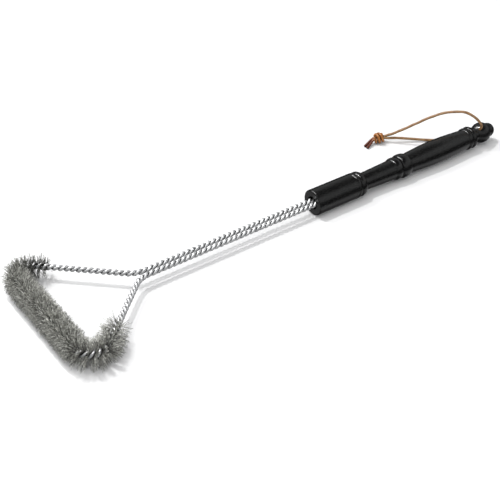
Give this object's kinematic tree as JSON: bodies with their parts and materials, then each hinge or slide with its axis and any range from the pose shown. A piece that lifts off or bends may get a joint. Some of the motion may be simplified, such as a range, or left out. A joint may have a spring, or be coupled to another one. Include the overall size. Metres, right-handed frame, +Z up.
{
  "type": "grill cleaning brush",
  "caption": "Long-handled grill cleaning brush: black turned handle with a leather lace, twisted wire stem and a triangular wire head with metal bristles.",
  "frame": {"origin": "on the floor, under the middle of the brush's length, in its plane of symmetry", "axes": "+X along the handle's axis towards its tip, +Y to the right of the user who holds the handle, +Z up"},
  "size_m": [0.533, 0.1594, 0.0431],
  "materials": {
    "black_lacquer": "black satin lacquer over turned wood",
    "adhesive": "dull set adhesive, hidden in the bore",
    "bright_wire": "bright drawn steel wire",
    "bristle_wire": "fine grey steel filament",
    "lace_leather": "tan round leather, waxed"
  },
  "bodies": {
    "brush": {"handle": "black_lacquer", "glue_bed": "adhesive", "stem_left_wire_a": "bright_wire", "stem_left_wire_b": "bright_wire", "stem_right_wire_a": "bright_wire", "stem_right_wire_b": "bright_wire", "arm_left_wire_a": "bright_wire", "arm_left_wire_b": "bright_wire", "arm_right_wire_a": "bright_wire", "arm_right_wire_b": "bright_wire", "corner_left_wire_a": "bright_wire", "corner_left_wire_b": "bright_wire", "corner_right_wire_a": "bright_wire", "corner_right_wire_b": "bright_wire", "crossbar_wire_a": "bright_wire", "crossbar_wire_b": "bright_wire", "bristles_arm_left": "bristle_wire", "bristles_corner_left": "bristle_wire", "bristles_crossbar": "bristle_wire", "bristles_corner_right": "bristle_wire", "bristles_arm_right": "bristle_wire"},
    "lace": {"lace_through_hole": "lace_leather", "lace_upper_strand": "lace_leather", "lace_lower_strand": "lace_leather", "lace_knot": "lace_leather", "lace_tail_a": "lace_leather", "lace_tail_b": "lace_leather"}
  },
  "joints": [
    {"name": "lace_swing", "type": "hinge", "parent": "brush", "child": "lace", "pos_m": [0.24103, 0, 0.013], "axis": [0, 0.4226, -0.9063], "range_deg": [0, 100]}
  ]
}
